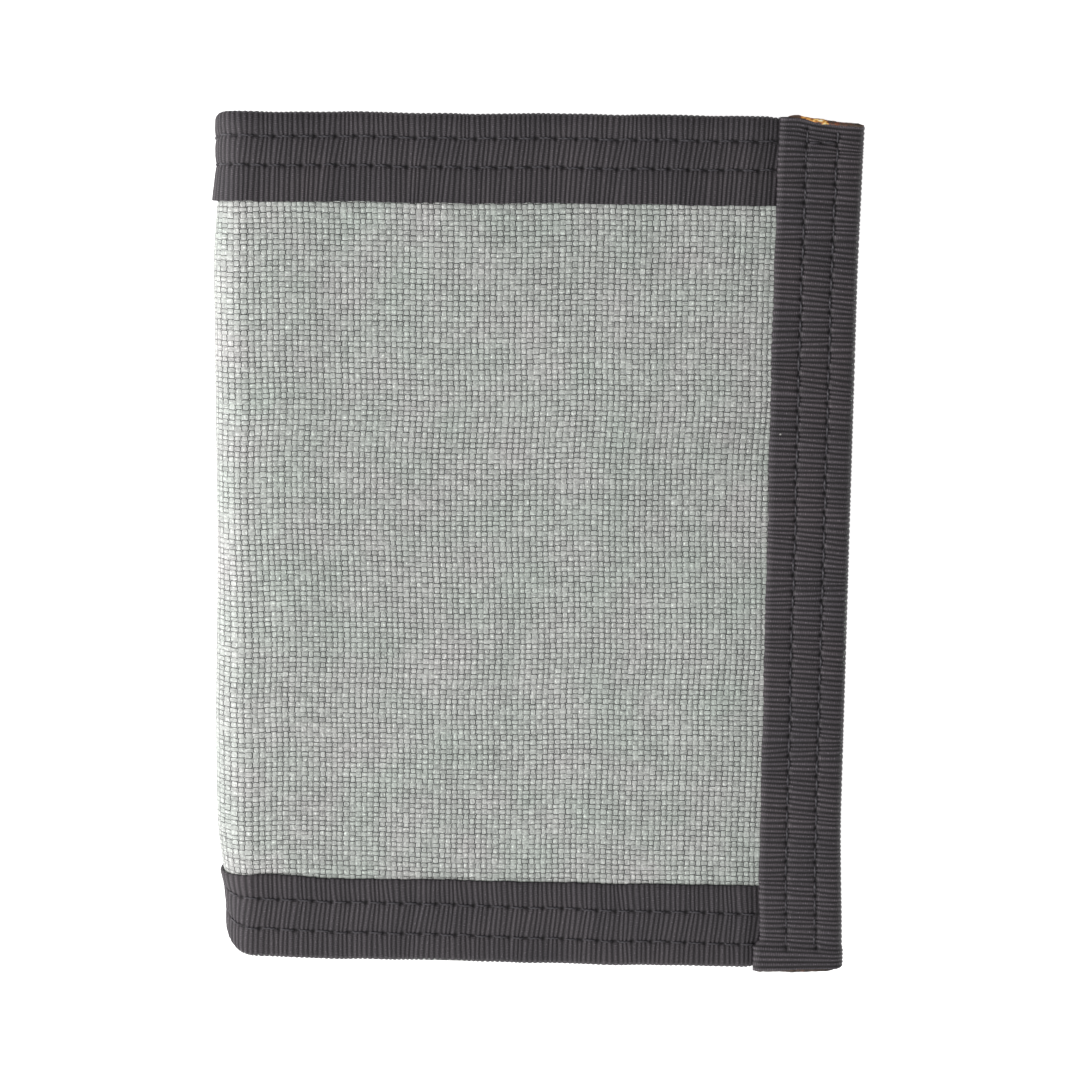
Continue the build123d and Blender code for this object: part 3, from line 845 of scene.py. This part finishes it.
def longTape(tape, leaf, seed):
    # Half of a tape that runs round the fold, from the middle of the spine to just under the side
    # tape. Grid rows follow the ribs, so a rib's place = pitch x (number + wander) + its slant.
    name, leafName, ends = tape["name"], leafNames[leaf], longEnds
    section = foldedSection(tape)
    end = runAt(sideEdge + ends["under"])
    number, even, valley = ribGrid(0.0, end, tape["ribPitch"], seed, 0.09, 5, False)
    away = section["away"][None, :]
    hold = ramp(even, 0, ends["held"])[:, None]
    sway = wander(even, seed + 1, ribs["swayLength"], ends["sway"])[:, None] * (away - tape["face"] / 2)
    run = even[:, None] + (slantShift(tape, away) + sway) * hold
    edgeWander = wander(even, seed + 2, ribs["edgeLength"], ends["edgeWander"])[:, None] * hold
    # The rows of stitches run at a slight slope between the tape's edges and take the ribs with them.
    rowDrift = tape["rowSlope"] * (0.5 - even / end)
    band = np.interp(away, [0, tape["rows"][0], tape["rows"][-1], tape["face"]], [0, 1, 1, 0])
    # Each rib ends a little short or long at the free edge, which falls back round the fold and
    # stands out a little beside it.
    rng = np.random.default_rng(seed + 8)
    ragged = rng.uniform(-1, 1, int(number[-1]) + 1)[number.astype(int)][:, None] * ribs["ragged"] * hold
    rebound = ends["rebound"] * bell(even - ends["reboundAt"], ends["reboundReach"])
    fall = bell(even, ends["fallReach"]) - rebound
    ragged = ragged - tape["edgeFall"] * fall[:, None] * section["outerLeg"][None, :]
    lastHole = runAt(sideEdge + ends["lastHole"])
    holes = [needleHoles(0.0, lastHole, pitch, seed + 3 + k) for k, pitch in enumerate(tape["pitches"])]
    run = run + seamPull(run, away, tape["rows"], holes) * hold
    dip, dark = seamRelief(run, away, tape["rows"], holes)
    tuck = ends["tuck"] * ramp(run, *(runAt(sideEdge + place) for place in ends["tuckFrom"]))
    lift = faceLift(tape, section["face"], ribs["depth"] * valley + dip + tuck)
    pastRows = ramp(away, tape["rows"][-1], tape["face"])
    reach = away + section["outAway"] * lift + rowDrift[:, None] * band + ragged * pastRows
    y = tape["edge"] + tape["inward"] * (reach + edgeWander)
    # The free edge stands off the cloth where it goes round the fold.
    stand = tape["proud"] * bell(run, ends["proudReach"]) * pastRows
    layer = section["depth"] + section["outDepth"] * lift - stand * section["outerLeg"][None, :]
    piece = tapeBand(f"{name}Tape{leafName.title()}", leaf, run, y, layer, number, section, dark)
    finishPiece(piece, bindingTape, "binding_tape", leaf, True, *stripNodes(f"{name}_tape", leaf))
    stitches = rowStitches(tape["rows"], holes, (0, 1))

    def placeThread(along, aside, rise):
        drift = np.interp(along, even, edgeWander[:, 0] + rowDrift)
        y = tape["edge"] + tape["inward"] * (aside + drift)
        return layOn(leaf, along, y, threadLevel(tape, stitches, rise))

    thread = threadPieces(f"{name}Stitches{leafName.title()}", stitches, placeThread, seed + 9)
    finishPiece(thread, bondedThread, "thread", leaf, True, *stripNodes(f"{name}_seam", leaf))


for seed, tape in enumerate((headTape, footTape, dividerTape)):
    for leaf in leafNames:
        longTape(tape, leaf, 100 * seed + 10 * (leaf + 2))
print("long tapes made")

# The side tape's ends: cut and singed at the head, turned under at the foot.
sideEnds = {
    "headCurve": (
        (0.0, -1.3 * mm), (3.5 * mm, -1.1 * mm), (7.0 * mm, -0.7 * mm), (9.4 * mm, -0.2 * mm),
        (11.8 * mm, -0.2 * mm),
    ),
    "headBand": 6 * mm, "held": 5 * mm, "sway": 0.06, "edgeWander": 0.09 * mm,
    "footDrop": 0.2 * mm, "footTurned": 4.3 * mm, "footWider": 0.9 * mm, "footLift": 0.16 * mm,
    "lipRadius": 0.5 * mm, "cornerRadius": 0.6 * mm,
    "rowsFrom": (3.2 * mm, 1.5 * mm), "rowsFade": 0.8 * mm,  # stitch rows from foot and head
    "turnAt": 3.6 * mm, "turnPitch": 2.2 * mm, "turnPast": 0.3 * mm,  # the cross run near the head
    "crossing": 0.14 * mm, "crossingFrom": (5.5 * mm, 9.5 * mm),  # proud over the ends of the long tapes
    "footSpread": 0.45 * mm, "spreadBand": 24 * mm,
}
headBead = {"reach": (0.3 * mm, sideTape["face"] - 1.0 * mm), "thick": 0.30 * mm, "amber": 1.15}
footBead = {
    "reach": (1.0 * mm, sideTape["face"] + 0.7 * mm), "thick": 0.30 * mm, "amber": 0.6, "over": 0.14 * mm,
}
beadShape = {
    "steps": 70, "sides": 12, "uneven": 0.18, "unevenLength": 4 * mm,
    "swell": 0.35, "swellAt": 6 * mm, "swellReach": 2 * mm,
    "clearAt": 6.2 * mm, "clearReach": 2.2 * mm, "depth": {1: 0.14 * mm, -1: 0.46 * mm},
}


def quarterRound(value, low, radius):
    # How far a corner of this radius is cut back at a value that counts up from its low end.
    t = np.clip((low + radius - value) / radius, 0, 1)
    return radius * (1 - np.sqrt(1 - t ** 2))[:, None]


def sideTapePiece(leaf, seed):
    # One side tape, from foot to head. A rib's place is pitch x (number + wander) up the tape.
    tape, ends, leafName = sideTape, sideEnds, leafNames[leaf]
    section = foldedSection(tape)
    face, outerLeg = section["face"], section["outerLeg"][None, :]
    low, high = footY - (ends["footDrop"] if leaf > 0 else 0), headY
    number, even, valley = ribGrid(low, high, tape["ribPitch"], seed, 0.09, 5)
    away = section["away"][None, :]
    sway = wander(even, seed + 1, ribs["swayLength"], ends["sway"])[:, None] * (away - tape["face"] / 2)
    bandHold = ramp(even, low, low + ends["held"]) * (1 - ramp(even, high - ends["held"], high))
    y = even[:, None] + (sway - slantShift(tape, away)) * bandHold[:, None]
    y = y + np.interp(away, *zip(*ends["headCurve"])) * ramp(even, high - ends["headBand"], high)[:, None]
    rowsLow, rowsHigh = footY + ends["rowsFrom"][0], headY - ends["rowsFrom"][1]
    holes = [needleHoles(rowsLow, rowsHigh, pitch, seed + 3 + k) for k, pitch in enumerate(tape["pitches"])]
    y = y + seamPull(y, away, tape["rows"], holes) * bandHold[:, None]
    fade = ends["rowsFade"]
    inRange = ramp(even, rowsLow - fade, rowsLow) * (1 - ramp(even, rowsHigh, rowsHigh + fade))
    dip, dark = (part * inRange[:, None] for part in seamRelief(y, away, tape["rows"], holes))
    # A cross run of stitches joins the two rows near the head.
    turnAt, past = headY - ends["turnAt"], ends["turnPast"]
    turnHoles = needleHoles(*tape["rows"], ends["turnPitch"], seed + 7)
    between = (away > tape["rows"][0] - past) & (away < tape["rows"][1] + past)
    turnDip, turnDark = seamRelief(np.broadcast_to(away, y.shape), y, (turnAt,), [turnHoles])
    dip, dark = np.maximum(dip, turnDip * between), np.maximum(dark, turnDark * between)
    turnedTop = low + ends["footTurned"]
    turned = (1 - ramp(even, turnedTop - 1.1 * mm, turnedTop))[:, None] * outerLeg
    lump = -0.9 * quarterRound(even, low, ends["lipRadius"]) * outerLeg
    if leaf > 0:
        # Proud where it crosses the ends of the long tapes, and over its own turned end.
        headCross, footCross = headY - headTape["face"], footY + footTape["face"]
        crossing = ramp(even, headCross - 1.5 * mm, headCross + 0.5 * mm)
        crossing = crossing + 1 - ramp(even, footCross - 0.5 * mm, footCross + 1.5 * mm)
        lump = lump + ends["crossing"] * crossing[:, None] * ramp(away, *ends["crossingFrom"]) * outerLeg
        lump = lump + ends["footLift"] * turned
    lift = faceLift(tape, face, ribs["depth"] * valley + dip, lump)
    edgeWander = wander(even, seed + 2, ribs["edgeLength"], ends["edgeWander"])[:, None]
    rng = np.random.default_rng(seed + 8)
    ragged = rng.uniform(-1, 1, int(number[-1]) + 1)[number.astype(int)][:, None] * ribs["ragged"]
    reach = away + section["outAway"] * lift + ends["footWider"] * turned * ramp(away, 8 * mm, tape["face"])
    reach = reach + edgeWander * ramp(away, 2 * mm, tape["face"])
    reach = reach + ragged * ramp(away, tape["face"] - 0.5 * mm, tape["face"])
    reach = reach + quarterRound(even, low, ends["cornerRadius"]) * (1 - ramp(away, 0, 5 * mm))
    footward = (1 - ramp(even, low, low + ends["spreadBand"]))[:, None]
    reach = reach - ends["footSpread"] * footward * (1 - ramp(away, 2 * mm, tape["face"]))
    layer = section["depth"] + section["outDepth"] * lift
    run = runAt(openX - reach)
    piece = tapeBand(f"sideTape{leafName.title()}", leaf, run, y, layer, number, section, dark)
    finishPiece(piece, sideGrosgrainPaintedLight, "binding_tape", leaf, False, f"side_tape_{leafName}")
    crossRun = rowStitches((turnAt,), [turnHoles], (0, 1))[..., [1, 0, 2]]
    stitches = np.concatenate([rowStitches(tape["rows"], holes, (0, 1)), crossRun])

    def placeThread(along, aside, rise):
        drift = np.interp(along, even, edgeWander[:, 0]) * ramp(aside, 2 * mm, tape["face"])
        return layOn(leaf, runAt(openX - aside - drift), along, threadLevel(tape, stitches, rise))

    thread = threadPieces(f"sideStitches{leafName.title()}", stitches, placeThread, seed + 9)
    finishPiece(thread, bondedThread, "thread", leaf, False, f"side_seam_{leafName}")
    singedBead(f"singedEnd{leafName.title()}", leaf, headBead, headY, ends["headCurve"], seed)
    if leaf > 0:
        singedBead("singedFoot", leaf, footBead, low + footBead["over"], ((0.0, 0.0),), seed + 50)


def singedBead(name, leaf, bead, edge, curve, seed):
    # The melted bead along a cut end: a round rope whose radius swells and thins along it, lying
    # across the tape on the line y = edge + curve(away). shade is how clear its amber is.
    s, thick = beadShape, bead["thick"]
    away = np.linspace(*bead["reach"], s["steps"])
    angle = np.linspace(0, 2 * math.pi, s["sides"], endpoint=False)
    radius = thick + wander(away, seed + 8, s["unevenLength"], s["uneven"] * thick)
    radius = radius + s["swell"] * thick * bell(away - s["swellAt"], s["swellReach"])
    rounding = np.sin(np.linspace(0.03, math.pi - 0.03, s["steps"]))
    radius = (radius * np.sqrt(np.clip(4 * rounding, 0, 1)))[:, None]
    y = edge + np.interp(away, *zip(*curve))[:, None] + radius * np.sin(angle) * 0.9
    depth = s["depth"][leaf] + 0.7 * radius * np.cos(angle)
    round12 = np.ones(s["sides"])
    # The clearest places take the palest tint, which is a painted highlight.
    clear = bead["amber"] * (0.3 + 0.7 * bell(away - s["clearAt"], s["clearReach"]))[:, None] * round12
    run = runAt(openX - away)[:, None] * round12
    piece = closedBand(name, layOn(leaf, run, y, depth), np.stack([run / mm, y / mm], axis=-1), clear)
    piece.data.materials.append(singedNylon)
    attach(piece, bodyOf[leaf])


for leaf in leafNames:
    sideTapePiece(leaf, 400 + 20 * leaf)
print("side tapes made")

# Pockets on the inside of the leaves.
pocketLeft, pocketRight = span("card_pocket_lower", 0)
clothPitch = (0.42 * mm, 0.40 * mm)
pocketSewing = {
    "sideHem": 5 * mm, "footHem": 4 * mm, "turning": 12 * mm, "hemInset": 2.2 * mm, "mouthRow": 1.6 * mm,
    "lip": 0.25 * mm, "lipReach": 0.3 * mm,  # the foot and the mouth are rounded a little
    "below": 5 * mm,  # the side stitches show this far under a mouth ribbon
    "pitch": 2.5 * mm, "border": 8 * mm, "threadProud": 0.10 * mm,
}


def hemmedPocket(name, leaf, low, high, depths):
    # A pocket panel with its sides turned under: the section goes along the face, round each side
    # in a half circle and back under the hem, which fills the gap. depths are the floor, the
    # panel's underside and its face. Near the foot the gap is closed by the foot hem, and the foot
    # and the mouth are lowered by a bell curve of the distance to them.
    s = pocketSewing
    floor, under, face = depths
    radius = (face - floor) / 2
    turn = np.linspace(0, math.pi, 7)
    flat = np.linspace(pocketLeft + radius, pocketRight - radius, 34)
    rightX, rightDepth = pocketRight - radius + radius * np.sin(turn), floor + radius + radius * np.cos(turn)
    innerRight, innerLeft = pocketRight - s["sideHem"], pocketLeft + s["sideHem"]
    inner = np.linspace(innerRight, innerLeft, 12)
    leftX = (pocketLeft + pocketRight) - rightX[::-1][:-1]
    x = np.concatenate([flat, rightX[1:], [innerRight], inner, [innerLeft], leftX])
    rows = np.linspace(low, high, max(round((high - low) / (1.5 * mm)), 8))
    hemTop = low + s["footHem"]
    closed = (1 - ramp(rows, hemTop - 0.3 * mm, hemTop))[:, None]
    ceiling = under * (1 - closed) + (floor + 0.02 * mm) * closed
    column = np.ones((len(rows), 1))
    depth = np.concatenate([
        column * face + 0 * flat, column * rightDepth[1:], column * floor,
        ceiling + 0 * inner, column * floor, column * rightDepth[::-1][:-1],
    ], axis=1)
    grid = column * x
    y = rows[:, None] + 0 * grid
    lip = s["lip"] * (bell(rows - low, s["lipReach"]) + bell(rows - high, s["lipReach"]))[:, None]
    depth = np.where(depth > floor + radius, depth - lip * (depth - floor) / (face - floor), depth)
    pattern = np.stack([grid / clothPitch[0], y / clothPitch[1]], axis=-1)
    return closedBand(name, layOn(leaf, runAt(grid), y, depth), pattern)


def ribbonStrip(name, leaf, length, width, base, rows, upright, seed):
    # A flat grosgrain ribbon on the inside of a leaf: its face is at base + thickness - relief, with
    # the ribs and stitch rows as relief, and its back is flat. length and width are (low, high)
    # ranges along and across it, and upright says that it runs along Y.
    number, even, valley = ribGrid(*length, sideTape["ribPitch"], seed, 0.08, 4)
    steps = np.array([-0.8, -0.4, -0.2, 0.0, 0.2, 0.4, 0.8]) * mm
    across = np.unique(np.concatenate([np.linspace(*width, 9)] + [row + steps for row in rows]).round(6))
    across = across[(across >= width[0]) & (across <= width[1])]
    line = np.concatenate([across, np.linspace(width[1], width[0], 4)])
    face = np.concatenate([np.ones(len(across)), np.zeros(4)])
    face[[0, len(across) - 1]] = 0.6
    along = even[:, None] + 0 * line
    aside = line + 0 * along
    sewn = (length[0] + 0.8 * mm, length[1] - 0.8 * mm)
    holes = [needleHoles(*sewn, pocketSewing["pitch"], seed + 1 + k) for k in range(len(rows))]
    dip, dark = seamRelief(along, aside, rows, holes)
    relief = np.minimum(0.75 * ribs["depth"] * valley + 0.8 * dip, 0.8 * ribbonThick)
    depth = base + np.where(face > 0, ribbonThick * np.where(face < 1, 0.75, 1) - relief, 0)
    pattern = np.stack([number[:, None] + 0 * aside, aside / ribs["threadPitch"]], axis=-1)
    x, y = (aside, along) if upright else (along, aside)
    piece = closedBand(name, layOn(leaf, runAt(x), y, depth), pattern, dark * (face > 0))

    def placeThread(threadAlong, threadAside, rise):
        x, y = (threadAside, threadAlong) if upright else (threadAlong, threadAside)
        return layOn(leaf, runAt(x), y, base + ribbonThick + rise)

    return piece, threadPieces(f"{name}Thread", rowStitches(rows, holes), placeThread, seed + 5)


def clothSeam(name, leaf, lines, surface, seed):
    # Rows of stitches straight on a pocket's cloth. Each line is (fixed place, low, high, upright).
    found = []
    for k, (place, low, high, upright) in enumerate(lines):
        line = rowStitches((place,), [needleHoles(low, high, pocketSewing["pitch"], seed + k)])
        found.append(line[..., [1, 0, 2]] if upright else line)

    def placeThread(x, y, rise):
        return layOn(leaf, runAt(x), y, surface + pocketSewing["threadProud"] + rise)

    return threadPieces(name, np.concatenate(found), placeThread, seed + 9)


hemInset = pocketSewing["hemInset"]
for index, pocketName in enumerate(("upper", "middle", "lower")):
    title, node = pocketName.title(), f"card_pocket_{pocketName}"
    low, high = span(node, 1)
    under, face = span(node, 2)
    floor = span(f"{node}_hems", 2)[0]
    ribbonLow = span(f"{node}_ribbon", 1)[0]
    pocket = hemmedPocket(f"cardPocket{title}", -1, low, high, (floor, under, face))
    finishPiece(pocket, liningCloth, "lining_cloth", -1, False, node, f"{node}_hems")
    ribbon, ribbonThread = ribbonStrip(
        f"mouthRibbon{title}", -1, (pocketLeft, pocketRight), (ribbonLow, high), face,
        (ribbonLow + pocketSewing["mouthRow"],), False, 500 + 10 * index,
    )
    finishPiece(ribbon, bindingTape, "binding_tape", -1, False, f"{node}_ribbon")
    bareLow = low + hemInset if pocketName == "lower" else ribbonLow - pocketSewing["below"]
    left, right = pocketLeft + hemInset, pocketRight - hemInset
    lines = [(left, bareLow, ribbonLow, True), (right, bareLow, ribbonLow, True)]
    if pocketName == "lower":
        lines.append((low + hemInset, left, right, False))
    sideThread = clothSeam(f"hemThread{title}", -1, lines, face, 540 + 10 * index)
    thread = joinPieces(f"pocketStitches{title}", [ribbonThread, sideThread])
    finishPiece(thread, bondedThread, "thread", -1, False, f"{node}_seam")
print("card pockets made")


def flatSlab(name, leaf, x, y, depth, steps, curl=0.0):
    # A thin slab between two depths: a grid of steps along each side, its face bowed by a slow wave.
    xs, ys = np.linspace(*x, steps), np.linspace(*y, steps)
    gridX, gridY = np.meshgrid(xs, np.concatenate([ys, ys[::-1]]), indexing="ij")
    wave = curl * wander(0.7 * gridX + gridY, 77, 30 * mm, 1.0)
    level = np.repeat([depth[1], depth[0]], steps)[None, :] + wave
    pattern = np.stack([gridX / clothPitch[0], gridY / clothPitch[1]], axis=-1)
    return closedBand(name, layOn(leaf, runAt(gridX), gridY, level), pattern)


def windowDepth(node):
    # Depth from the outside of the front leaf, where the frame's Z counts down.
    low, high = span(node, 2)
    return closedThick - high, closedThick - low


hemDepth = windowDepth("id_pocket_hems")
borderDepth = windowDepth("id_window_borders")
paneX, paneY = span("id_window_pane", 0), span("id_window_pane", 1)
windowLow, windowHigh = span("id_pocket_hems", 1)
ribbonLow = span("id_mouth_ribbon", 1)[0]
sideHem, footHem, border = (pocketSewing[key] for key in ("sideHem", "footHem", "border"))
hemPlaces = (
    ((pocketLeft, pocketLeft + sideHem), (windowLow, windowHigh)),
    ((pocketRight - sideHem, pocketRight), (windowLow, windowHigh)),
    ((pocketLeft + sideHem, pocketRight - sideHem), (windowLow, windowLow + footHem)),
)
hems = joinPieces("windowHems", [flatSlab("hemPart", 1, x, y, hemDepth, 14) for x, y in hemPlaces])
finishPiece(hems, liningCloth, "lining_cloth", 1, False, "id_pocket_hems")
pane = flatSlab("windowPane", 1, paneX, paneY, windowDepth("id_window_pane"), 40, 0.03 * mm)
finishPiece(pane, clearVinyl, "clear_vinyl", 1, False, "id_window_pane")
bordered = (pocketLeft + border, pocketRight - border)
borders = (
    ("borderLeft", (windowLow, ribbonLow), (pocketLeft, bordered[0]), pocketLeft + hemInset, True),
    ("borderRight", (windowLow, ribbonLow), (bordered[1], pocketRight), pocketRight - hemInset, True),
    ("borderFoot", bordered, (windowLow, windowLow + border), windowLow + hemInset, False),
)
borderPieces, borderThreads = [], []
for k, (name, length, width, row, upright) in enumerate(borders):
    piece, thread = ribbonStrip(name, 1, length, width, borderDepth[0], (row,), upright, 600 + 10 * k)
    borderPieces.append(piece)
    borderThreads.append(thread)
windowBorders = joinPieces("windowBorders", borderPieces)
finishPiece(windowBorders, bindingTape, "binding_tape", 1, False, "id_window_borders")
mouth, mouthThread = ribbonStrip(
    "windowMouth", 1, (pocketLeft, pocketRight), (ribbonLow, windowHigh), borderDepth[0],
    (ribbonLow + pocketSewing["mouthRow"],), False, 640,
)
finishPiece(mouth, bindingTape, "binding_tape", 1, False, "id_mouth_ribbon")
thread = joinPieces("windowStitches", borderThreads + [mouthThread])
finishPiece(thread, bondedThread, "thread", 1, False, "id_pocket_seam")
print("window made")

# Table, lights and camera. The table is far larger than the wallet, so that low views show little
# of the room behind it.
tableHalf = 8
mesh = bpy.data.meshes.new("table")
corners = [(tableHalf * x, tableHalf * y, 0) for x, y in ((-1, -1), (1, -1), (1, 1), (-1, 1))]
mesh.from_pydata(corners, [], [(0, 1, 2, 3)])
table = bpy.data.objects.new("table", mesh)
bpy.context.scene.collection.objects.link(table)
material, tree, shader = newMaterial("paleTable")  # matt white laminate, lit from all round
plug(tree, shader, {
    "Base Color": srgb("#f7f7f7"), "Roughness": 0.9, "Specular IOR Level": 0.1,
    "Emission Color": (1, 1, 1, 1), "Emission Strength": 0.7,
})
mesh.materials.append(material)

world = bpy.data.worlds.new("softRoom")
world.use_nodes = True
world.node_tree.nodes["Background"].inputs[0].default_value = (1, 1, 1, 1)
world.node_tree.nodes["Background"].inputs[1].default_value = 0.40
bpy.context.scene.world = world
bpy.context.scene.view_settings.view_transform = "Standard"

lights = {
    "leftSoftbox": {"at": (-0.55, -0.05, 0.36), "size": 0.35, "power": 6.0, "colour": (1.0, 0.97, 0.985)},
    "footSoftbox": {"at": (0.05, -0.55, 0.40), "size": 0.35, "power": 1.2, "colour": (1.0, 1.0, 1.0)},
}
for name, light in lights.items():
    data = bpy.data.lights.new(name, "AREA")
    data.size = light["size"]
    data.energy = light["power"]
    data.color = light["colour"]
    lamp = bpy.data.objects.new(name, data)
    lamp.location = light["at"]
    lamp.rotation_euler = (-Vector(light["at"])).to_track_quat("-Z", "Y").to_euler()
    bpy.context.scene.collection.objects.link(lamp)

view = {
    "from": Vector((-0.61, 49.24, 314.12)) * mm, "look": Vector((0.00454, -0.15462, -0.98796)),
    "up": Vector((-0.00794, 0.98794, -0.15466)), "lens": 73.33, "sensor": 36,
}
camera = bpy.data.cameras.new("camera")
camera.lens = view["lens"]
camera.sensor_width = view["sensor"]
camera.clip_start = 0.01
cameraObject = bpy.data.objects.new("camera", camera)
side = view["look"].cross(view["up"]).normalized()
up = side.cross(view["look"]).normalized()
turned = Matrix((side, up, -view["look"].normalized())).transposed()
cameraObject.matrix_world = Matrix.Translation(view["from"]) @ turned.to_4x4()
bpy.context.scene.collection.objects.link(cameraObject)
bpy.context.scene.camera = cameraObject
print("stage made")
